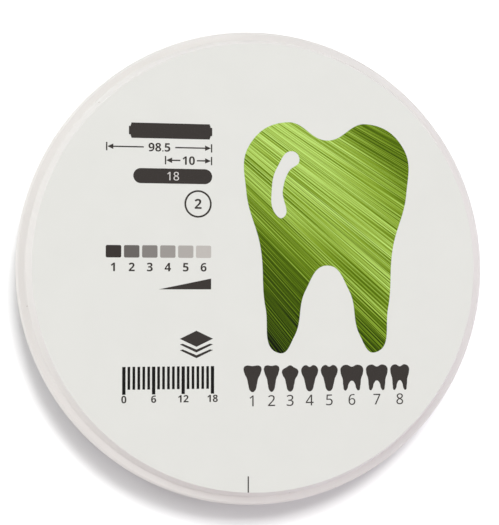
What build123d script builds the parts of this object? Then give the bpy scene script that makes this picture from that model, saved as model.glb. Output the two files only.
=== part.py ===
"""A round blank of pre-sintered zirconia for a dental mill.

The blank is one turned body: a collar that the holder of the mill clamps by its shoulders, and
a round plateau that stands out of the collar on each side. The dimensions are in millimetres.
The blank lies flat on its back plateau. The origin is the middle of the back face, and +Z is
the axis of the disc and points out of the front face, the printed one.
"""
from build123d import *
import os

# Sizes across the axis of the disc. The shoulder is the ring of the collar, outside the
# plateau, that the holder clamps.
COLLAR_DIAMETER = 98.5
SHOULDER_WIDTH = 2.0

# Sizes along the axis of the disc
DISC_THICKNESS = 18.0
COLLAR_THICKNESS = 10.0

# The side of each plateau: a straight foot that centres the disc in its holder, and above it
# a steep bevel up to the face, because the chalky blank crumbles at a sharp edge first
FOOT_HEIGHT = 1.0
BEVEL_WIDTH = 1.1

# Break of the collar's two outer edges, measured along each of the faces that meet there
COLLAR_CHAMFER = 0.45

# Radius that the nose of the turning tool leaves where a plateau rises from the collar
ROOT_RADIUS = 0.4

# The collar lies midway between the two faces, so both plateaus rise by the same amount
collar_radius = COLLAR_DIAMETER / 2
plateau_radius = collar_radius - SHOULDER_WIDTH
face_radius = plateau_radius - BEVEL_WIDTH
plateau_rise = (DISC_THICKNESS - COLLAR_THICKNESS) / 2
bevel_height = plateau_rise - FOOT_HEIGHT
back_shoulder_height = plateau_rise
front_shoulder_height = DISC_THICKNESS - plateau_rise


with BuildPart() as milling_disc:
    # Half of the section, from the axis out to the rim, turned once round the axis
    with BuildSketch(Plane.XZ):
        with BuildLine():
            Polyline(
                (0, 0),
                (face_radius, 0),
                (plateau_radius, bevel_height),
                (plateau_radius, back_shoulder_height),
                (collar_radius, back_shoulder_height),
                (collar_radius, front_shoulder_height),
                (plateau_radius, front_shoulder_height),
                (plateau_radius, DISC_THICKNESS - bevel_height),
                (face_radius, DISC_THICKNESS),
                (0, DISC_THICKNESS),
                close=True,
            )
        make_face()
    revolve(axis=Axis.Z)

    # Both edges of the collar are broken, so that the disc slides into its holder
    circles = milling_disc.edges().filter_by(GeomType.CIRCLE)
    collar_edges = circles.group_by(SortBy.RADIUS)[-1]
    chamfer(collar_edges, COLLAR_CHAMFER)

    # The tool leaves a small round corner at the foot of each plateau. The smallest circles
    # bound the two faces. The next ones bound the straight feet, and the inner two of those
    # lie on the shoulders.
    circles = milling_disc.edges().filter_by(GeomType.CIRCLE)
    foot_circles = circles.group_by(SortBy.RADIUS)[1].sort_by(Axis.Z)
    plateau_roots = foot_circles[1:-1]
    fillet(plateau_roots, ROOT_RADIUS)

milling_disc.part.label = "milling_disc"

os.makedirs("parts", exist_ok=True)
export_step(milling_disc.part, "parts/milling_disc.step")
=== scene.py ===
"""Dresses the milling disc: a chalky zirconia blank with a print on its front face.

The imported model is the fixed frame. The blank keeps its form here and gets finer edges and the
finish of turned, pre-sintered zirconia. Everything printed on the front face is a thin film of
ink, made of plain shapes and plain numbers. All lengths are in metres, in the frame of the model:
+Z is the axis of the disc, and +Y points to the top of the print.
"""
import logging
import math
from dataclasses import dataclass, field
from enum import Enum

import bmesh
import bpy
from mathutils import Matrix, Vector


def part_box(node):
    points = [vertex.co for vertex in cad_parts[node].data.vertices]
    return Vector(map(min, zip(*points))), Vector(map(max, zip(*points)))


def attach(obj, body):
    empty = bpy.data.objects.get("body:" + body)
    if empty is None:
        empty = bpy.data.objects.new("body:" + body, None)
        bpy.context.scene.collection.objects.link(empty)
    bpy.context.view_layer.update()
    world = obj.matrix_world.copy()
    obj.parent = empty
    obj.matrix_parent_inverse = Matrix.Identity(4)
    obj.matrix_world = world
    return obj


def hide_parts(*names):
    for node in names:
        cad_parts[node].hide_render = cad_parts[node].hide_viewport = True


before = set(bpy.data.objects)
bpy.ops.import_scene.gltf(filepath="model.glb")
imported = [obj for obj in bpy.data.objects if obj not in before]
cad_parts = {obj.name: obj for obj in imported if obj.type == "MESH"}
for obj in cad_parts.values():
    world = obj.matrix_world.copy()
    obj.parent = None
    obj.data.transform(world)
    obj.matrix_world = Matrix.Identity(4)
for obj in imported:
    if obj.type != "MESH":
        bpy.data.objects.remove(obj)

MM = 0.001
BLANK_NODE = "milling_disc"
BODY = "root"

log = logging.getLogger("milling_disc")

Point = tuple[float, float]

# Ink that has soaked into the chalk keeps almost no gloss
SOAKED_IN = {"Roughness": 0.8, "Specular IOR Level": 0.1}

# The built-in font has sans-serif digits among its mathematical signs. Each set starts at zero.
LIGHT_ZERO = 0x1D7E2
BOLD_ZERO = 0x1D7EC


def linear_colour(hex_code: str) -> tuple[float, float, float, float]:
    """Turns an sRGB colour into the linear colour that a shader reads.

    Args:
        hex_code: The colour as "#rrggbb".

    Returns:
        Red, green, blue and an alpha of 1.
    """
    channels = []
    for start in (1, 3, 5):
        value = int(hex_code[start:start + 2], 16) / 255
        if value <= 0.04045:
            channels.append(value / 12.92)
        else:
            channels.append(((value + 0.055) / 1.055) ** 2.4)
    return (channels[0], channels[1], channels[2], 1.0)


def add_node(tree: bpy.types.NodeTree, kind: str, settings: dict | None = None,
             links: dict | None = None) -> bpy.types.Node:
    """Adds one node to a material, with its settings and its links.

    Args:
        tree: The node tree of the material.
        kind: The node's type, such as "ShaderNodeTexNoise".
        settings: Values by the name of a property or of an input. "stops" gives the places and
            the colours of a colour ramp.
        links: Output sockets by the name or the number of the input that they feed.

    Returns:
        The new node.
    """
    node = tree.nodes.new(kind)
    for name, value in (settings or {}).items():
        if name == "stops":
            elements = node.color_ramp.elements
            while len(elements) < len(value):
                elements.new(1.0)
            for element, (place, colour) in zip(elements, value):
                element.position = place
                element.color = colour
        elif isinstance(name, str) and hasattr(node, name):
            setattr(node, name, value)
        else:
            node.inputs[name].default_value = value
    for name, socket in (links or {}).items():
        tree.links.new(socket, node.inputs[name])
    return node


def grey(value: float) -> tuple[float, float, float, float]:
    """Gives a neutral linear colour of one brightness."""
    return (value, value, value, 1.0)


def circle_points(centre: Point, radius: float, count: int = 72) -> list[Point]:
    """Lays points evenly round a circle.

    Args:
        centre: The middle of the circle.
        radius: Its radius.
        count: How many points to lay.

    Returns:
        The points, anticlockwise from +X.
    """
    return arc_points(centre, radius, 0.0, 2 * math.pi, count)[:-1]


def arc_points(centre: Point, radius: float, start: float, end: float, steps: int) -> list[Point]:
    """Lays points evenly along an arc.

    Args:
        centre: The middle of the arc's circle.
        radius: The radius of the arc.
        start: The angle of the first point, in radians.
        end: The angle of the last point, in radians.
        steps: How many equal steps the arc is cut into.

    Returns:
        One point more than there are steps.
    """
    points = []
    for step in range(steps + 1):
        angle = start + (end - start) * step / steps
        points.append((centre[0] + radius * math.cos(angle), centre[1] + radius * math.sin(angle)))
    return points


def rectangle_points(left: float, bottom: float, width: float, height: float,
                     corner: float = 0.0) -> list[Point]:
    """Outlines a rectangle, with round corners where a radius is given.

    Args:
        left: The lowest X.
        bottom: The lowest Y.
        width: The size along X.
        height: The size along Y.
        corner: The radius of the corners.

    Returns:
        The points, anticlockwise.
    """
    right = left + width
    top = bottom + height
    if corner <= 0:
        return [(left, bottom), (right, bottom), (right, top), (left, top)]
    quarter = math.pi / 2
    quarter_steps = 10
    centres = [(right - corner, top - corner), (left + corner, top - corner),
               (left + corner, bottom + corner), (right - corner, bottom + corner)]
    points = []
    for turn, centre in enumerate(centres):
        points += arc_points(centre, corner, turn * quarter, (turn + 1) * quarter, quarter_steps)
    return points


class Ink(Enum):
    """The inks that the print is made of, and the names of their materials."""

    DARK = "dark_ink"
    BLACK = "black_ink"
    LIGHT = "light_ink"
    GREEN = "brushed_green_ink"
    TINTS = "tint_inks"


@dataclass(frozen=True)
class Finish:
    """What all the finishes share: each gives the shader of one node material."""

    name: str

    def shader(self, tree: bpy.types.NodeTree) -> bpy.types.NodeSocket:
        """Adds the nodes of the finish.

        Args:
            tree: The node tree of the material.

        Returns:
            The shader's output.
        """
        raise NotImplementedError

    def build(self) -> bpy.types.Material:
        """Makes the node material.

        Returns:
            The finished material.
        """
        material = bpy.data.materials.new(self.name)
        material.use_nodes = True
        tree = material.node_tree
        tree.nodes.clear()
        add_node(tree, "ShaderNodeOutputMaterial", links={"Surface": self.shader(tree)})
        return material


@dataclass(frozen=True)
class PresinteredZirconia(Finish):
    """Pressed zirconia powder, baked to a chalk and turned on a lathe.

    To the eye it is a dead matt, warm off-white, with faint rings from the turning tool, a grain
    like fine plaster and now and then a pore that stays dark.
    """

    colour: str
    shade: str
    pore_colour: str = "#8a7468"
    roughness: float = 0.86
    ior: float = 1.45
    ring_pitch: float = 0.45 * MM
    ring_depth: float = 0.004 * MM
    grain_size: float = 0.30 * MM
    grain_depth: float = 0.006 * MM
    cloud_size: float = 9.0 * MM
    cloud_band: Point = (0.30, 0.70)
    pore_cell: float = 3.4 * MM
    pore_radius: float = 0.20 * MM
    pore_floor_radius: float = 0.10 * MM
    pore_depth: float = 0.10 * MM
    pore_share: float = 0.60
    pore_strength: float = 0.9

    def shader(self, tree: bpy.types.NodeTree) -> bpy.types.NodeSocket:
        """Adds the nodes of the chalk: faint clouds, pores and relief.

        Args:
            tree: The node tree of the material.

        Returns:
            The shader's output.
        """
        place = add_node(tree, "ShaderNodeTexCoord").outputs["Object"]
        clouds = add_node(tree, "ShaderNodeTexNoise",
                          {"Scale": 1 / self.cloud_size, "Detail": 4.0, "Roughness": 0.55},
                          {"Vector": place}).outputs["Fac"]
        tint = add_node(tree, "ShaderNodeValToRGB",
                        {"stops": [(self.cloud_band[0], linear_colour(self.shade)),
                                   (self.cloud_band[1], linear_colour(self.colour))]},
                        {"Fac": clouds}).outputs["Color"]
        pores = self.pores(tree, place)
        colour = add_node(tree, "ShaderNodeMix",
                          {"data_type": "RGBA", 7: linear_colour(self.pore_colour)},
                          {0: pores, 6: tint}).outputs[2]
        normal = self.relief(tree, place, pores)
        return add_node(tree, "ShaderNodeBsdfPrincipled",
                        {"Roughness": self.roughness, "IOR": self.ior},
                        {"Base Color": colour, "Normal": normal}).outputs["BSDF"]

    def pores(self, tree: bpy.types.NodeTree, place: bpy.types.NodeSocket) -> bpy.types.NodeSocket:
        """Scatters a few pores: a small dot in the middle of some of the cells.

        Args:
            tree: The node tree of the material.
            place: The position on the blank.

        Returns:
            A mask that is 1 in a pore.
        """
        cells = add_node(tree, "ShaderNodeTexVoronoi", {"Scale": 1 / self.pore_cell},
                         {"Vector": place})
        dots = add_node(tree, "ShaderNodeMapRange",
                        {"From Min": self.pore_radius / self.pore_cell,
                         "From Max": self.pore_floor_radius / self.pore_cell},
                        {"Value": cells.outputs["Distance"]}).outputs["Result"]
        chance = add_node(tree, "ShaderNodeSeparateColor",
                          links={"Color": cells.outputs["Color"]}).outputs["Red"]
        chosen = add_node(tree, "ShaderNodeMath", {"operation": "LESS_THAN", 1: self.pore_share},
                          {0: chance}).outputs[0]
        both = add_node(tree, "ShaderNodeMath", {"operation": "MULTIPLY"},
                        {0: dots, 1: chosen}).outputs[0]
        return add_node(tree, "ShaderNodeMath",
                        {"operation": "MULTIPLY", 1: self.pore_strength}, {0: both}).outputs[0]

    def relief(self, tree: bpy.types.NodeTree, place: bpy.types.NodeSocket,
               pores: bpy.types.NodeSocket) -> bpy.types.NodeSocket:
        """Adds the rings of the turning tool, the grain of the chalk and the pores as bumps.

        The tool's real feed is near 0.1 mm a turn, and the granules of the pressed powder are
        near 0.06 mm. Both are too fine for the render, so the rings and the grain are drawn four
        to five times as coarse.

        Args:
            tree: The node tree of the material.
            place: The position on the blank.
            pores: The mask of the pores.

        Returns:
            The bent normal.
        """
        axes = add_node(tree, "ShaderNodeSeparateXYZ", links={"Vector": place})
        across = add_node(tree, "ShaderNodeCombineXYZ",
                          links={"X": axes.outputs["X"], "Y": axes.outputs["Y"]}).outputs[0]
        radius = add_node(tree, "ShaderNodeVectorMath", {"operation": "LENGTH"},
                          {0: across}).outputs["Value"]
        ring_place = add_node(tree, "ShaderNodeCombineXYZ",
                              links={"X": radius, "Y": axes.outputs["Z"]}).outputs[0]
        rings = add_node(tree, "ShaderNodeTexNoise",
                         {"Scale": 1 / self.ring_pitch, "Detail": 2.0, "Roughness": 0.6},
                         {"Vector": ring_place}).outputs["Fac"]
        grain = add_node(tree, "ShaderNodeTexNoise",
                         {"Scale": 1 / self.grain_size, "Detail": 5.0, "Roughness": 0.65},
                         {"Vector": place}).outputs["Fac"]
        ring_bump = add_node(tree, "ShaderNodeBump",
                             {"Strength": 1.0, "Distance": self.ring_depth},
                             {"Height": rings}).outputs["Normal"]
        grain_bump = add_node(tree, "ShaderNodeBump",
                              {"Strength": 1.0, "Distance": self.grain_depth},
                              {"Height": grain, "Normal": ring_bump}).outputs["Normal"]
        return add_node(tree, "ShaderNodeBump",
                        {"Strength": 1.0, "Distance": self.pore_depth, "invert": True},
                        {"Height": pores, "Normal": grain_bump}).outputs["Normal"]


@dataclass(frozen=True)
class PrintedInk(Finish):
    """Ink that was printed on the chalk and has soaked in.

    To the eye it is even and matt, and a little paler on the tips of the grain. The grain is
    drawn about four times as coarse as the real granules, which are too fine to show.
    """

    colour: str
    worn_colour: str
    grain_size: float = 0.22 * MM
    grain_depth: float = 0.003 * MM
    wear_band: Point = (0.55, 0.80)

    def shader(self, tree: bpy.types.NodeTree) -> bpy.types.NodeSocket:
        """Adds the nodes of the ink: a tone that wears off on the grain.

        Args:
            tree: The node tree of the material.

        Returns:
            The shader's output.
        """
        place = add_node(tree, "ShaderNodeTexCoord").outputs["Object"]
        grain = add_node(tree, "ShaderNodeTexNoise",
                         {"Scale": 1 / self.grain_size, "Detail": 3.0, "Roughness": 0.6},
                         {"Vector": place}).outputs["Fac"]
        colour = add_node(tree, "ShaderNodeValToRGB",
                          {"stops": [(self.wear_band[0], linear_colour(self.colour)),
                                     (self.wear_band[1], linear_colour(self.worn_colour))]},
                          {"Fac": grain}).outputs["Color"]
        normal = add_node(tree, "ShaderNodeBump", {"Strength": 1.0, "Distance": self.grain_depth},
                          {"Height": grain}).outputs["Normal"]
        return add_node(tree, "ShaderNodeBsdfPrincipled", SOAKED_IN,
                        {"Base Color": colour, "Normal": normal}).outputs["BSDF"]


@dataclass(frozen=True)
class SteppedTints(Finish):
    """A row of tints, printed side by side from dark to pale. To the eye each is flat and matt."""

    left: float
    width: float
    steps: int
    darkest: str = "#3a3532"
    palest: str = "#c4c0ba"

    def shader(self, tree: bpy.types.NodeTree) -> bpy.types.NodeSocket:
        """Adds the nodes of the tints: one step of tone for each chip.

        Args:
            tree: The node tree of the material.

        Returns:
            The shader's output.
        """
        place = add_node(tree, "ShaderNodeTexCoord").outputs["Object"]
        across = add_node(tree, "ShaderNodeSeparateXYZ", links={"Vector": place}).outputs["X"]
        share = add_node(tree, "ShaderNodeMapRange",
                         {"From Min": self.left, "From Max": self.left + self.width,
                          "To Min": 0.0, "To Max": float(self.steps)},
                         {"Value": across}).outputs["Result"]
        step = add_node(tree, "ShaderNodeMath", {"operation": "FLOOR"}, {0: share}).outputs[0]
        shade = add_node(tree, "ShaderNodeMath", {"operation": "DIVIDE", 1: self.steps - 1.0},
                         {0: step}).outputs[0]
        colour = add_node(tree, "ShaderNodeValToRGB",
                          {"stops": [(0.0, linear_colour(self.darkest)),
                                     (1.0, linear_colour(self.palest))]},
                          {"Fac": shade}).outputs["Color"]
        return add_node(tree, "ShaderNodeBsdfPrincipled", SOAKED_IN,
                        {"Base Color": colour}).outputs["BSDF"]


@dataclass(frozen=True)
class BrushedGreenInk(Finish):
    """Green ink printed as brushed metal: a slanted shine, cut by fine strokes that fan out.

    The shine runs from the lower left corner, nearly black, over a bright band to a dull upper
    right corner. The strokes all point away from one place far off to the upper left, and the
    print fades a little along them. The colour has one scale of tones, from black over olive to
    a pale yellow-green.
    """

    corner: Point
    size: Point
    fan_centre: Point
    stroke_length: float = 55.0 * MM
    strokes: tuple[tuple[float, float], ...] = ((0.16 * MM, 0.22), (0.36 * MM, 0.07),
                                                (1.50 * MM, 0.045))
    noise_band: Point = (0.36, 0.64)
    fade_start: float = 79.0 * MM
    fade_end: float = 137.0 * MM
    fade: float = 0.19

    def shader(self, tree: bpy.types.NodeTree) -> bpy.types.NodeSocket:
        """Adds the nodes of the print: the tone of shine, fade and strokes, and its colour.

        Args:
            tree: The node tree of the material.

        Returns:
            The shader's output.
        """
        tints = [(0.00, "#030700"), (0.15, "#1e2c02"), (0.35, "#3e5502"), (0.48, "#54710a"),
                 (0.60, "#709019"), (0.72, "#8dab33"), (0.84, "#a8c955"), (1.00, "#c6e87c")]
        place = add_node(tree, "ShaderNodeTexCoord").outputs["Object"]
        turn, distance = self.fan(tree, place)
        fade = add_node(tree, "ShaderNodeMapRange",
                        {"From Min": self.fade_start, "From Max": self.fade_end,
                         "To Min": 0.0, "To Max": -self.fade},
                        {"Value": distance}).outputs["Result"]
        layers = [fade] + [self.stroke_tone(tree, turn, distance, width, depth)
                           for width, depth in self.strokes]
        tone = self.slanted_tone(tree, place)
        for layer in layers:
            tone = add_node(tree, "ShaderNodeMath", {"operation": "ADD"},
                            {0: tone, 1: layer}).outputs[0]
        colour = add_node(tree, "ShaderNodeValToRGB",
                          {"stops": [(at, linear_colour(tint)) for at, tint in tints]},
                          {"Fac": tone}).outputs["Color"]
        return add_node(tree, "ShaderNodeBsdfPrincipled", SOAKED_IN,
                        {"Base Color": colour}).outputs["BSDF"]

    def slanted_tone(self, tree: bpy.types.NodeTree,
                     place: bpy.types.NodeSocket) -> bpy.types.NodeSocket:
        """Lays the slanted shine over the printed field.

        Args:
            tree: The node tree of the material.
            place: The position on the face.

        Returns:
            The tone without strokes.
        """
        tones = [(0.00, 0.14), (0.05, 0.23), (0.17, 0.39), (0.30, 0.48), (0.40, 0.68),
                 (0.52, 0.83), (0.60, 0.88), (0.68, 0.88), (0.78, 0.80), (0.86, 0.62),
                 (1.00, 0.50)]
        slant = (math.sqrt(0.5), math.sqrt(0.5), 0.0)
        start = self.corner[0] * slant[0] + self.corner[1] * slant[1]
        length = self.size[0] * slant[0] + self.size[1] * slant[1]
        along = add_node(tree, "ShaderNodeVectorMath", {"operation": "DOT_PRODUCT", 1: slant},
                         {0: place}).outputs["Value"]
        share = add_node(tree, "ShaderNodeMapRange",
                         {"From Min": start, "From Max": start + length},
                         {"Value": along}).outputs["Result"]
        return add_node(tree, "ShaderNodeValToRGB",
                        {"stops": [(at, grey(tone)) for at, tone in tones]},
                        {"Fac": share}).outputs["Color"]

    def fan(self, tree: bpy.types.NodeTree, place: bpy.types.NodeSocket
            ) -> tuple[bpy.types.NodeSocket, bpy.types.NodeSocket]:
        """Measures the print from the place that the strokes point away from.

        Args:
            tree: The node tree of the material.
            place: The position on the face.

        Returns:
            The length along an arc through the middle of the print, and the distance.
        """
        middle = (self.corner[0] + self.size[0] / 2, self.corner[1] + self.size[1] / 2)
        offset = add_node(tree, "ShaderNodeVectorMath",
                          {"operation": "SUBTRACT", 1: (*self.fan_centre, 0.0)},
                          {0: place}).outputs[0]
        axes = add_node(tree, "ShaderNodeSeparateXYZ", links={"Vector": offset})
        angle = add_node(tree, "ShaderNodeMath", {"operation": "ARCTAN2"},
                         {0: axes.outputs["Y"], 1: axes.outputs["X"]}).outputs[0]
        turn = add_node(tree, "ShaderNodeMath",
                        {"operation": "MULTIPLY", 1: math.dist(middle, self.fan_centre)},
                        {0: angle}).outputs[0]
        distance = add_node(tree, "ShaderNodeVectorMath", {"operation": "LENGTH"},
                            {0: offset}).outputs["Value"]
        return turn, distance

    def stroke_tone(self, tree: bpy.types.NodeTree, turn: bpy.types.NodeSocket,
                    distance: bpy.types.NodeSocket, width: float,
                    depth: float) -> bpy.types.NodeSocket:
        """Draws strokes of one width.

        Args:
            tree: The node tree of the material.
            turn: The length along the arc, across the strokes.
            distance: The length along the strokes.
            width: The width of a stroke in the middle of the print.
            depth: How much lighter or darker than the shine a stroke gets.

        Returns:
            What the strokes add to the tone.
        """
        across = add_node(tree, "ShaderNodeMath", {"operation": "DIVIDE", 1: width},
                          {0: turn}).outputs[0]
        along = add_node(tree, "ShaderNodeMath", {"operation": "DIVIDE", 1: self.stroke_length},
                         {0: distance}).outputs[0]
        fan = add_node(tree, "ShaderNodeCombineXYZ", links={"X": across, "Y": along}).outputs[0]
        noise = add_node(tree, "ShaderNodeTexNoise",
                         {"noise_dimensions": "2D", "Scale": 1.0, "Detail": 1.0},
                         {"Vector": fan}).outputs["Fac"]
        return add_node(tree, "ShaderNodeMapRange",
                        {"From Min": self.noise_band[0], "From Max": self.noise_band[1],
                         "To Min": -depth, "To Max": depth},
                        {"Value": noise}).outputs["Result"]


@dataclass
class TurnedBlank:
    """The zirconia blank itself: a collar with a plateau on each side, in one turned piece."""

    collar_radius: float
    thickness: float
    shoulder_width: float = 2.0 * MM
    collar_thickness: float = 10.0 * MM
    foot_height: float = 1.0 * MM
    bevel_width: float = 1.1 * MM
    collar_chamfer: float = 0.45 * MM
    root_radius: float = 0.4 * MM
    soft_edge: float = 0.09 * MM
    inner_ring: float = 0.5
    segments: int = 360
    arc_steps: int = 4

    @property
    def plateau_radius(self) -> float:
        """The radius of the straight feet of the two plateaus."""
        return self.collar_radius - self.shoulder_width

    @property
    def face_radius(self) -> float:
        """The radius of a flat face, inside its bevel."""
        return self.plateau_radius - self.bevel_width

    def corners(self) -> list[tuple[float, float, float]]:
        """Lists the corners of half the section, from the back face to the front face.

        Returns:
            Radius, height and rounding of each corner.
        """
        rise = (self.thickness - self.collar_thickness) / 2
        edge = self.soft_edge
        lower = [
            (self.face_radius, 0.0, edge),
            (self.plateau_radius, rise - self.foot_height, edge),
            (self.plateau_radius, rise, self.root_radius),
            (self.collar_radius - self.collar_chamfer, rise, edge),
            (self.collar_radius, rise + self.collar_chamfer, edge),
        ]
        upper = [(radius, self.thickness - height, round_) for radius, height, round_ in lower]
        return lower + upper[::-1]

    def section(self) -> list[Point]:
        """Rounds each corner of half the section.

        Returns:
            Radius and height of each point, from the back face's middle to the front face's.
        """
        corners = self.corners()
        inner_radius = self.face_radius * self.inner_ring
        points = [(0.0, 0.0), (inner_radius, 0.0)]
        ends = [(0.0, 0.0), *[corner[:2] for corner in corners], (0.0, self.thickness)]
        for index, (radius, height, rounding) in enumerate(corners):
            here = Vector((radius, height))
            to_last = (Vector(ends[index]) - here).normalized()
            to_next = (Vector(ends[index + 2]) - here).normalized()
            half_turn = to_last.angle(to_next) / 2
            centre = here + (to_last + to_next).normalized() * (rounding / math.sin(half_turn))
            first = here + to_last * (rounding / math.tan(half_turn)) - centre
            last = here + to_next * (rounding / math.tan(half_turn)) - centre
            start = math.atan2(first.y, first.x)
            turn = (math.atan2(last.y, last.x) - start + math.pi) % (2 * math.pi) - math.pi
            points += arc_points(tuple(centre), rounding, start, start + turn, self.arc_steps)
        return points + [(inner_radius, self.thickness), (0.0, self.thickness)]

    def build(self, face_finish: bpy.types.Material,
              rim_finish: bpy.types.Material) -> bpy.types.Object:
        """Turns the section into the blank and dresses it.

        Args:
            face_finish: The material of the flat front face.
            rim_finish: The material of all the rest.

        Returns:
            The blank, which stands for the solid.
        """
        section = self.section()
        ring_points = section[1:-1]
        vertices = [(0.0, 0.0, section[0][1])]
        for radius, height in ring_points:
            for step in range(self.segments):
                angle = 2 * math.pi * step / self.segments
                vertices.append((radius * math.cos(angle), radius * math.sin(angle), height))
        vertices.append((0.0, 0.0, section[-1][1]))
        faces = []
        last_ring = 1 + (len(ring_points) - 1) * self.segments
        for step in range(self.segments):
            after = (step + 1) % self.segments
            faces.append((0, 1 + after, 1 + step))
            faces.append((len(vertices) - 1, last_ring + step, last_ring + after))
            for ring in range(len(ring_points) - 1):
                low = 1 + ring * self.segments
                high = low + self.segments
                faces.append((low + step, low + after, high + after, high + step))
        mesh = bpy.data.meshes.new("blank_body")
        mesh.from_pydata(vertices, [], faces)
        mesh.materials.append(rim_finish)
        mesh.materials.append(face_finish)
        tolerance = self.soft_edge / 100
        for polygon in mesh.polygons:
            polygon.use_smooth = True
            flat = all(mesh.vertices[index].co.z > self.thickness - tolerance
                       for index in polygon.vertices)
            polygon.material_index = 1 if flat else 0
        body = bpy.data.objects.new("blank_body", mesh)
        bpy.context.scene.collection.objects.link(body)
        shading = body.modifiers.new("flat_faces_stay_flat", "WEIGHTED_NORMAL")
        shading.weight = 100
        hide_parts(BLANK_NODE)
        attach(body, BODY)
        return body


@dataclass
class InkPress:
    """Lays films of ink on the front face.

    Each film is sunk a little way into what it lies on, so that no gap shows below its edge.
    """

    face_height: float
    inks: dict[Ink, bpy.types.Material]
    film: float = 0.02 * MM
    sunk: float = 0.004 * MM
    weld: float = 0.0005 * MM
    curve_steps: int = 16
    digit_steps: int = 4
    digit_share: float = 0.714
    made: list[str] = field(default_factory=list)

    def lay(self, name: str, data: bpy.types.Curve, ink: Ink, scale: float, level: int = 0,
            centre: Point = (0.0, 0.0)) -> None:
        """Turns a flat curve or a number into a closed film on the face.

        Args:
            name: The name of the printed piece.
            data: The outline or the number, round its own origin.
            ink: The ink that it is printed with.
            scale: The length on the face of one unit of the outline.
            level: 0 on the face, 1 on top of another film.
            centre: Where the origin of the outline goes.
        """
        data.extrude = self.film / 2
        pattern = bpy.data.objects.new(name + "_outline", data)
        bpy.context.scene.collection.objects.link(pattern)
        bpy.context.view_layer.update()
        mesh = bpy.data.meshes.new_from_object(pattern)
        bpy.data.objects.remove(pattern)
        height = self.face_height + self.film / 2 - self.sunk + level * (self.film - self.sunk)
        mesh.transform(Matrix.Translation((centre[0], centre[1], height))
                       @ Matrix.Diagonal((scale, scale, 1.0, 1.0)))
        shape = bmesh.new()
        shape.from_mesh(mesh)
        bmesh.ops.remove_doubles(shape, verts=shape.verts, dist=self.weld)
        bmesh.ops.recalc_face_normals(shape, faces=shape.faces)
        shape.to_mesh(mesh)
        shape.free()
        mesh.name = name
        mesh.materials.clear()
        mesh.materials.append(self.inks[ink])
        for polygon in mesh.polygons:
            polygon.use_smooth = False
            polygon.material_index = 0
        piece = bpy.data.objects.new(name, mesh)
        bpy.context.scene.collection.objects.link(piece)
        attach(piece, BODY)
        self.made.append(name)

    def shapes(self, name: str, outlines: list[list[Point]], ink: Ink,
               smooth: bool = False) -> None:
        """Prints closed outlines. An outline inside another one is a hole in it.

        Args:
            name: The name of the printed piece.
            outlines: The points of each outline.
            ink: The ink that it is printed with.
            smooth: Whether a smooth curve joins the points, or straight lines.
        """
        data = bpy.data.curves.new(name, "CURVE")
        data.dimensions = "2D"
        data.fill_mode = "BOTH"
        data.resolution_u = self.curve_steps
        for outline in outlines:
            spline = data.splines.new("BEZIER" if smooth else "POLY")
            points = spline.bezier_points if smooth else spline.points
            points.add(len(outline) - 1)
            for point, (x, y) in zip(points, outline):
                if smooth:
                    point.co = (x / MM, y / MM, 0.0)
                    point.handle_left_type = point.handle_right_type = "AUTO"
                else:
                    point.co = (x / MM, y / MM, 0.0, 1.0)
            spline.use_cyclic_u = True
        self.lay(name, data, ink, MM)

    def number(self, name: str, text: str, centre: Point, height: float, ink: Ink,
               bold: bool = True, level: int = 0) -> None:
        """Prints a plain number.

        Args:
            name: The name of the printed piece.
            text: The digits, and a point where there is one.
            centre: The middle of the number.
            height: The height of a digit.
            ink: The ink that it is printed with.
            bold: Whether the strokes are heavy or light.
            level: 0 on the face, 1 on top of another film.
        """
        zero = BOLD_ZERO if bold else LIGHT_ZERO
        data = bpy.data.curves.new(name, "FONT")
        data.body = "".join(chr(zero + int(sign)) if sign.isdigit() else sign for sign in text)
        data.align_x = "CENTER"
        data.align_y = "BOTTOM_BASELINE"
        data.fill_mode = "BOTH"
        data.resolution_u = self.digit_steps
        self.lay(name, data, ink, height / self.digit_share, level,
                 (centre[0], centre[1] - height / 2))


class ToothKind(Enum):
    """The kinds of tooth that the print shows, from the middle of the mouth to the back."""

    INCISOR = "incisor"
    CANINE = "canine"
    PREMOLAR = "premolar"
    MOLAR = "molar"


@dataclass(frozen=True)
class ToothOutline:
    """The plain outline of a tooth, seen from its cheek side, with its crown up."""

    kind: ToothKind
    centre: Point
    width: float
    height: float

    def half(self) -> list[Point]:
        """Gives the right half of the outline.

        Returns:
            Points from the middle of the crown to the middle of the root, across as shares of
            half the width, and up as shares of the height.
        """
        halves = {
            ToothKind.INCISOR: [(0.0, 0.985), (0.72, 1.0), (0.98, 0.93), (0.90, 0.70),
                                (0.62, 0.50), (0.50, 0.30), (0.26, 0.05), (0.0, 0.0)],
            ToothKind.CANINE: [(0.0, 1.0), (0.42, 0.93), (0.95, 0.80), (0.90, 0.64), (0.62, 0.48),
                               (0.48, 0.28), (0.24, 0.04), (0.0, 0.0)],
            ToothKind.PREMOLAR: [(0.0, 0.935), (0.46, 1.0), (0.94, 0.88), (0.96, 0.72),
                                 (0.68, 0.50), (0.52, 0.28), (0.26, 0.04), (0.0, 0.0)],
            ToothKind.MOLAR: [(0.0, 0.925), (0.48, 1.0), (0.93, 0.90), (0.97, 0.70), (0.80, 0.46),
                              (0.74, 0.20), (0.58, 0.01), (0.40, 0.08), (0.26, 0.28),
                              (0.0, 0.385)],
        }
        return halves[self.kind]

    def points(self) -> list[Point]:
        """Mirrors the half outline and gives it its size and place.

        Returns:
            The points of the whole outline.
        """
        half = self.half()
        mirrored = [(-across, up) for across, up in half[-2:0:-1]]
        bottom = self.centre[1] - self.height / 2
        return [(self.centre[0] + across * self.width / 2, bottom + up * self.height)
                for across, up in half + mirrored]


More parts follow.
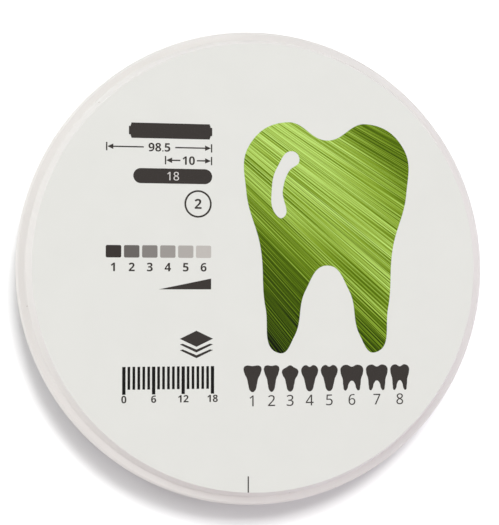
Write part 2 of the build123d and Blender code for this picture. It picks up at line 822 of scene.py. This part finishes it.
@dataclass
class GreenTooth:
    """The large green tooth on the right of the face."""

    centre: Point = (14.25 * MM, 5.9 * MM)
    width: float = 35.2 * MM
    height: float = 48.1 * MM
    gloss_inset: float = 5.2 * MM
    gloss_drop: float = 5.98 * MM
    gloss_unit: float = 2.6 * MM
    fan_offset: Point = (-64.0 * MM, 94.0 * MM)

    def finish(self) -> BrushedGreenInk:
        """Sizes the brushed print to the tooth.

        Returns:
            The finish.
        """
        corner = (self.centre[0] - self.width / 2, self.centre[1] - self.height / 2)
        fan_centre = (corner[0] + self.fan_offset[0], corner[1] + self.fan_offset[1])
        return BrushedGreenInk(Ink.GREEN.value, corner, (self.width, self.height), fan_centre)

    def gloss(self) -> list[Point]:
        """Outlines the blank crescent that stands for the gloss of the crown.

        Returns:
            The points of the crescent.
        """
        crescent = [(1.9, 0.0), (0.75, -1.2), (0.25, -3.1), (0.55, -5.0), (1.15, -5.3),
                    (1.15, -3.1), (1.65, -1.6), (2.5, -0.7)]
        left = self.centre[0] - self.width / 2 + self.gloss_inset
        top = self.centre[1] + self.height / 2 - self.gloss_drop
        return [(left + across * self.gloss_unit, top + up * self.gloss_unit)
                for across, up in crescent]

    def build(self, press: InkPress) -> None:
        """Prints the tooth."""
        outline = ToothOutline(ToothKind.MOLAR, self.centre, self.width, self.height)
        press.shapes("green_tooth", [outline.points(), self.gloss()], Ink.GREEN, smooth=True)


@dataclass
class ToothChart:
    """The row of eight small teeth below the large one, with their plain numbers."""

    left: float = -3.35 * MM
    width: float = 35.2 * MM
    bottom: float = -25.6 * MM
    height: float = 5.4 * MM
    number_height: float = 2.2 * MM
    number_middle: float = -27.4 * MM
    gap: float = 0.55 * MM

    def build(self, press: InkPress) -> None:
        """Prints the teeth and their numbers.

        Args:
            press: Lays the ink.
        """
        row = [(ToothKind.INCISOR, 1.0), (ToothKind.INCISOR, 0.86), (ToothKind.CANINE, 0.96),
               (ToothKind.PREMOLAR, 0.98), (ToothKind.PREMOLAR, 0.98), (ToothKind.MOLAR, 1.34),
               (ToothKind.MOLAR, 1.28), (ToothKind.MOLAR, 1.12)]
        share = (self.width - self.gap * (len(row) - 1)) / sum(wide for _, wide in row)
        outlines = []
        left = self.left
        for index, (kind, wide) in enumerate(row):
            width = wide * share
            centre = (left + width / 2, self.bottom + self.height / 2)
            outlines.append(ToothOutline(kind, centre, width, self.height).points())
            press.number(f"tooth_number_{index + 1}", str(index + 1),
                         (centre[0], self.number_middle), self.number_height, Ink.DARK, bold=False)
            left += width + self.gap
        press.shapes("tooth_row", outlines, Ink.DARK, smooth=True)


@dataclass
class SizeMarks:
    """The marks at the upper left: the disc from its side, its width, thickness and shade."""

    right: float = -9.9 * MM
    profile_width: float = 17.0 * MM
    profile_top: float = 29.1 * MM
    wide_arrow: float = 21.6 * MM
    wide_arrow_height: float = 24.2 * MM
    wide_arrow_gap: float = 6.4 * MM
    short_arrow: float = 9.7 * MM
    short_arrow_height: float = 21.6 * MM
    short_arrow_gap: float = 3.4 * MM
    number_height: float = 1.7 * MM
    pill_width: float = 16.1 * MM
    pill_bottom: float = 16.85 * MM
    pill_height: float = 3.05 * MM
    ring_centre: Point = (-12.8 * MM, 12.8 * MM)
    ring_radius: float = 2.8 * MM
    ring_stroke: float = 0.36 * MM
    ring_number_height: float = 2.0 * MM

    def profile(self, blank: TurnedBlank) -> list[Point]:
        """Outlines the small picture of the disc seen from its side.

        Args:
            blank: The disc, for its proportions.

        Returns:
            The points of the outline.
        """
        scale = self.profile_width / (2 * blank.collar_radius)
        centre = self.right - self.profile_width / 2
        bottom = self.profile_top - blank.thickness * scale
        half = [(radius * scale, height * scale) for radius, height, _ in blank.corners()]
        right_side = [(centre + across, bottom + up) for across, up in half]
        left_side = [(centre - across, bottom + up) for across, up in reversed(half)]
        return right_side + left_side

    def arrow(self, width: float, height: float, gap: float) -> list[list[Point]]:
        """Outlines a double arrow that ends at the right margin, with a gap for its number.

        Args:
            width: The length of the arrow.
            height: How high on the face it lies.
            gap: The width of the gap.

        Returns:
            The outlines of the two halves and of the two end lines.
        """
        line = 0.26 * MM
        head = 1.2 * MM
        half_head = 0.55 * MM
        end_line = 1.7 * MM
        middle = self.right - width / 2
        outlines = []
        for side in (-1, 1):
            tip = middle + side * (width / 2 - line)
            inner = middle + side * gap / 2
            neck = tip - side * head
            outlines.append([(tip, height), (neck, height + half_head), (neck, height + line / 2),
                             (inner, height + line / 2), (inner, height - line / 2),
                             (neck, height - line / 2), (neck, height - half_head)])
            edge = tip if side > 0 else tip - line
            outlines.append(rectangle_points(edge, height - end_line / 2, line, end_line))
        return outlines

    def build(self, press: InkPress, blank: TurnedBlank) -> None:
        """Prints the marks.

        Args:
            press: Lays the ink.
            blank: The disc, for its proportions.
        """
        pill = rectangle_points(self.right - self.pill_width, self.pill_bottom, self.pill_width,
                                self.pill_height, self.pill_height / 2)
        pill_centre = (self.right - self.pill_width / 2, self.pill_bottom + self.pill_height / 2)
        ring = [circle_points(self.ring_centre, self.ring_radius),
                circle_points(self.ring_centre, self.ring_radius - self.ring_stroke)]
        press.shapes("side_picture", [self.profile(blank)], Ink.DARK)
        press.shapes("thickness_pill", [pill], Ink.DARK)
        press.number("thickness_number", "18", pill_centre, self.number_height, Ink.LIGHT,
                     bold=False, level=1)
        press.shapes("shade_ring", ring, Ink.DARK)
        press.number("shade_number", "2", self.ring_centre, self.ring_number_height, Ink.DARK)
        arrows = [
            ("width", "98.5", self.wide_arrow, self.wide_arrow_height, self.wide_arrow_gap),
            ("collar", "10", self.short_arrow, self.short_arrow_height, self.short_arrow_gap),
        ]
        for name, text, width, up, gap in arrows:
            press.shapes(name + "_arrow", self.arrow(width, up, gap), Ink.DARK)
            press.number(name + "_number", text, (self.right - width / 2, up),
                         self.number_height, Ink.DARK)


@dataclass
class LayerScale:
    """The six numbered tints and the picture of stacked layers, at the left of the face."""

    right: float = -10.1 * MM
    width: float = 21.4 * MM
    chip_top: float = 4.3 * MM
    chip_height: float = 2.5 * MM
    chip_gap: float = 0.55 * MM
    chip_corner: float = 0.3 * MM
    chip_count: int = 6
    number_middle: float = -0.1 * MM
    number_height: float = 1.7 * MM
    wedge_width: float = 10.7 * MM
    wedge_bottom: float = -4.6 * MM
    wedge_height: float = 2.2 * MM
    stack_right: float = -9.7 * MM
    stack_width: float = 6.8 * MM
    stack_top: float = -13.0 * MM
    stack_step: float = 1.15 * MM
    stack_line: float = 0.62 * MM
    stack_slant: float = 0.48

    def build(self, press: InkPress) -> None:
        """Prints the scale and the stack.

        Args:
            press: Lays the ink.
        """
        chip = (self.width - self.chip_gap * (self.chip_count - 1)) / self.chip_count
        left = self.right - self.width
        outlines = []
        for index in range(self.chip_count):
            start = left + index * (chip + self.chip_gap)
            outlines.append(rectangle_points(start, self.chip_top - self.chip_height, chip,
                                             self.chip_height, self.chip_corner))
            press.number(f"layer_number_{index + 1}", str(index + 1),
                         (start + chip / 2, self.number_middle), self.number_height, Ink.DARK)
        wedge = [(self.right - self.wedge_width, self.wedge_bottom),
                 (self.right, self.wedge_bottom),
                 (self.right, self.wedge_bottom + self.wedge_height)]
        press.shapes("layer_tints", outlines, Ink.TINTS)
        press.shapes("layer_wedge", [wedge], Ink.DARK)
        press.shapes("layer_stack", self.stack(), Ink.DARK)

    def finish(self) -> SteppedTints:
        """Sizes the stepped tints to the row of chips."""
        return SteppedTints(Ink.TINTS.value, self.right - self.width, self.width, self.chip_count)

    def stack(self) -> list[list[Point]]:
        """Outlines three sheets that lie on each other, seen from above at a slant.

        Returns:
            The whole top sheet, and the two edges that show below it.
        """
        half = self.stack_width / 2
        depth = half * self.stack_slant
        line = self.stack_line
        end_rise = line * self.stack_slant / 2
        middle_rise = line * 0.95
        middle = self.stack_right - half
        top = self.stack_top
        outlines = [[(middle, top), (middle + half, top - depth), (middle, top - 2 * depth),
                     (middle - half, top - depth)]]
        for sheet in (1, 2):
            y = top - depth - sheet * self.stack_step
            outlines.append([(middle - half, y), (middle, y - depth), (middle + half, y),
                             (middle + half - line, y + end_rise),
                             (middle, y - depth + middle_rise),
                             (middle - half + line, y + end_rise)])
        return outlines


@dataclass
class MillimetreRule:
    """A rule as long as the disc is thick, with a line for each millimetre."""

    left: float = -27.8 * MM
    top: float = -20.2 * MM
    short_line: float = 4.6 * MM
    long_line: float = 5.6 * MM
    short_line_width: float = 0.54 * MM
    long_line_width: float = 0.675 * MM
    long_every: int = 6
    length_steps: int = 18
    number_middle: float = -26.75 * MM
    number_height: float = 1.45 * MM

    def build(self, press: InkPress) -> None:
        """Prints the rule and its numbers.

        Args:
            press: Lays the ink.
        """
        outlines = []
        for step in range(self.length_steps + 1):
            middle = self.left + step * MM
            length, width = self.short_line, self.short_line_width
            if step % self.long_every == 0:
                length, width = self.long_line, self.long_line_width
                press.number(f"rule_number_{step}", str(step), (middle, self.number_middle),
                             self.number_height, Ink.DARK)
            outlines.append(rectangle_points(middle - width / 2, self.top - length, width, length))
        press.shapes("rule_lines", outlines, Ink.BLACK)


@dataclass
class IndexMark:
    """The short line at the lower edge of the face that shows how the disc is turned."""

    across: float = -2.4 * MM
    length: float = 3.3 * MM
    width: float = 0.25 * MM
    margin: float = 0.03 * MM

    def build(self, press: InkPress, blank: TurnedBlank) -> None:
        """Prints the line.

        Args:
            press: Lays the ink.
            blank: The disc, for the edge of its face.
        """
        edge = -math.sqrt(blank.face_radius ** 2 - self.across ** 2) + self.margin
        line = rectangle_points(self.across - self.width / 2, edge, self.width, self.length)
        press.shapes("index_mark", [line], Ink.DARK)


@dataclass(frozen=True)
class Lamp:
    """A soft square lamp that faces the disc.

    Azimuth and elevation are in degrees, from +X towards +Y and above the floor. The power is
    in watts.
    """

    name: str
    azimuth: float
    elevation: float
    power: float
    colour: str = "#ffffff"
    distance: float = 1.1
    size: float = 0.45

    def build(self) -> bpy.types.Object:
        """Hangs the lamp.

        Returns:
            The lamp.
        """
        data = bpy.data.lights.new(self.name, "AREA")
        data.shape = "SQUARE"
        data.size = self.size
        data.energy = self.power
        data.color = linear_colour(self.colour)[:3]
        turn = math.radians(self.azimuth)
        rise = math.radians(self.elevation)
        away = Vector((math.cos(turn) * math.cos(rise), math.sin(turn) * math.cos(rise),
                       math.sin(rise)))
        holder = bpy.data.objects.new(self.name, data)
        holder.location = away * self.distance
        holder.rotation_mode = "QUATERNION"
        holder.rotation_quaternion = (-away).to_track_quat("-Z", "Y")
        bpy.context.scene.collection.objects.link(holder)
        return holder


@dataclass(frozen=True)
class FloorPaint(Finish):
    """Matt grey paint, which the floor's own lamp turns white outside the disc's shadow.

    The disc sees it darker than the eye does, because that lamp isn't meant to light the disc.
    """

    seen: str = "#dbdbdb"
    bounced: str = "#bababa"

    def shader(self, tree: bpy.types.NodeTree) -> bpy.types.NodeSocket:
        """Adds the nodes of the paint: one colour for the eye and one for the disc.

        Args:
            tree: The node tree of the material.

        Returns:
            The shader's output.
        """
        path = add_node(tree, "ShaderNodeLightPath")
        colour = add_node(tree, "ShaderNodeMix",
                          {"data_type": "RGBA", 6: linear_colour(self.bounced),
                           7: linear_colour(self.seen)},
                          {0: path.outputs["Is Camera Ray"]}).outputs[2]
        return add_node(tree, "ShaderNodeBsdfDiffuse", links={"Color": colour}).outputs["BSDF"]


@dataclass
class Studio:
    """The pale floor, the soft lamps and the white surround."""

    floor_size: float = 1.3
    surround: float = 0.12
    surround_colour: str = "#ffe1d1"
    lamps: tuple[Lamp, ...] = (
        Lamp("high_top_lamp", azimuth=120, elevation=65, power=3.22, colour="#f9fffb"),
        Lamp("high_right_lamp", azimuth=0, elevation=71, power=1.72, colour="#fdfff6"),
        Lamp("high_bottom_lamp", azimuth=270, elevation=65, power=1.36, colour="#e8e7ff"),
        Lamp("upper_left_lamp", azimuth=150, elevation=22, power=4.2, colour="#f5faff"),
        Lamp("left_lamp", azimuth=200, elevation=22, power=2.95, colour="#fefffa"),
        Lamp("bottom_lamp", azimuth=300, elevation=22, power=2.2, colour="#fff4fb"),
        Lamp("lower_right_lamp", azimuth=330, elevation=22, power=0.85, colour="#e8e8ff"),
        Lamp("right_lamp", azimuth=5, elevation=22, power=2.95, colour="#eeeeff"),
        Lamp("upper_right_lamp", azimuth=60, elevation=22, power=2.7, colour="#f9faff"),
    )
    floor_lamp: Lamp = Lamp("floor_lamp", azimuth=88, elevation=67, power=11.0, size=0.25)

    def build(self) -> None:
        """Lays the floor and sets up the lamps and the surround."""
        floor = self.lay_floor()
        self.light_surround()
        for lamp in self.lamps:
            lamp.build()
        floor_only = bpy.data.collections.new("floor_only")
        floor_only.objects.link(floor)
        self.floor_lamp.build().light_linking.receiver_collection = floor_only

    def lay_floor(self) -> bpy.types.Object:
        """Lays the floor, a plain square.

        Returns:
            The floor.
        """
        half = self.floor_size / 2
        mesh = bpy.data.meshes.new("floor")
        mesh.from_pydata([(-half, -half, 0), (half, -half, 0), (half, half, 0), (-half, half, 0)],
                         [], [(0, 1, 2, 3)])
        mesh.materials.append(FloorPaint("floor_paint").build())
        floor = bpy.data.objects.new("floor", mesh)
        bpy.context.scene.collection.objects.link(floor)
        return floor

    def light_surround(self) -> None:
        """Makes the surround white to the eye and a soft light to the disc."""
        world = bpy.data.worlds.new("surround")
        bpy.context.scene.world = world
        world.use_nodes = True
        tree = world.node_tree
        tree.nodes.clear()
        path = add_node(tree, "ShaderNodeLightPath")
        seen = add_node(tree, "ShaderNodeMath", {"operation": "MAXIMUM"},
                        {0: path.outputs["Is Camera Ray"], 1: path.outputs["Is Glossy Ray"]})
        seen = add_node(tree, "ShaderNodeMath", {"operation": "MAXIMUM"},
                        {0: seen.outputs[0], 1: path.outputs["Is Transmission Ray"]})
        strength = add_node(tree, "ShaderNodeMapRange", {"To Min": self.surround, "To Max": 1.0},
                            {"Value": seen.outputs[0]})
        colour = add_node(tree, "ShaderNodeMix",
                          {"data_type": "RGBA", 6: linear_colour(self.surround_colour),
                           7: grey(1.0)}, {0: seen.outputs[0]}).outputs[2]
        light = add_node(tree, "ShaderNodeBackground",
                         links={"Color": colour, "Strength": strength.outputs["Result"]})
        add_node(tree, "ShaderNodeOutputWorld", links={"Surface": light.outputs[0]})


@dataclass
class PhotoCamera:
    """The camera of the photograph, close to the disc and a little to its left."""

    target_height: float
    distance: float = 270.7 * MM
    to_the_left: float = 10.86
    to_the_bottom: float = 1.37
    image_width: float = 499.0
    image_height: float = 525.0
    focal_pixels: float = 1319.0
    centre_pixel: Point = (259.8, 267.04)
    sensor: float = 36.0

    def build(self) -> None:
        """Places the camera over the front face."""
        data = bpy.data.cameras.new("photo_camera")
        data.sensor_width = self.sensor
        data.lens = self.sensor * self.focal_pixels / self.image_height
        data.shift_x = (self.image_width / 2 - self.centre_pixel[0]) / self.image_height
        data.shift_y = (self.centre_pixel[1] - self.image_height / 2) / self.image_height
        data.clip_start = 0.01
        data.clip_end = 20.0
        yaw = math.radians(self.to_the_left)
        pitch = math.radians(self.to_the_bottom)
        away = Vector((-math.sin(yaw) * math.cos(pitch), -math.sin(pitch),
                       math.cos(yaw) * math.cos(pitch)))
        sideways = (-away).cross(Vector((0, 1, 0))).normalized()
        upwards = sideways.cross(-away)
        turn = Matrix((sideways, upwards, away)).transposed().to_4x4()
        place = Vector((0, 0, self.target_height)) + away * self.distance
        camera = bpy.data.objects.new("photo_camera", data)
        camera.matrix_world = Matrix.Translation(place) @ turn
        bpy.context.scene.collection.objects.link(camera)
        bpy.context.scene.camera = camera


def main() -> None:
    """Builds and dresses the disc, piece by piece."""
    logging.basicConfig(level=logging.INFO, format="%(name)s: %(message)s")
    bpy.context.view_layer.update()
    node_low, node_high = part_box(BLANK_NODE)
    bpy.context.scene.view_settings.view_transform = "Standard"

    blank = TurnedBlank(collar_radius=node_high.x, thickness=node_high.z - node_low.z)
    PhotoCamera(target_height=node_high.z).build()
    Studio().build()

    face = PresinteredZirconia("ground_zirconia_face", "#e7e8e2", "#e5e6e0",
                               ring_depth=0.0015 * MM, grain_depth=0.003 * MM, pore_share=0.0)
    rim = PresinteredZirconia("turned_zirconia_rim", "#e8e5e2", "#e6e3e0")
    body = blank.build(face.build(), rim.build())
    log.info("%s: %d faces", body.name, len(body.data.polygons))

    green_tooth = GreenTooth()
    layer_scale = LayerScale()
    inks = {
        Ink.DARK: PrintedInk(Ink.DARK.value, "#3b3734", "#484441").build(),
        Ink.BLACK: PrintedInk(Ink.BLACK.value, "#141312", "#242322").build(),
        Ink.LIGHT: PrintedInk(Ink.LIGHT.value, "#dddad6", "#c9c6c2").build(),
        Ink.GREEN: green_tooth.finish().build(),
        Ink.TINTS: layer_scale.finish().build(),
    }
    press = InkPress(face_height=node_high.z, inks=inks)
    green_tooth.build(press)
    ToothChart().build(press)
    SizeMarks().build(press, blank)
    layer_scale.build(press)
    MillimetreRule().build(press)
    IndexMark().build(press, blank)


if __name__ == "__main__":
    main()
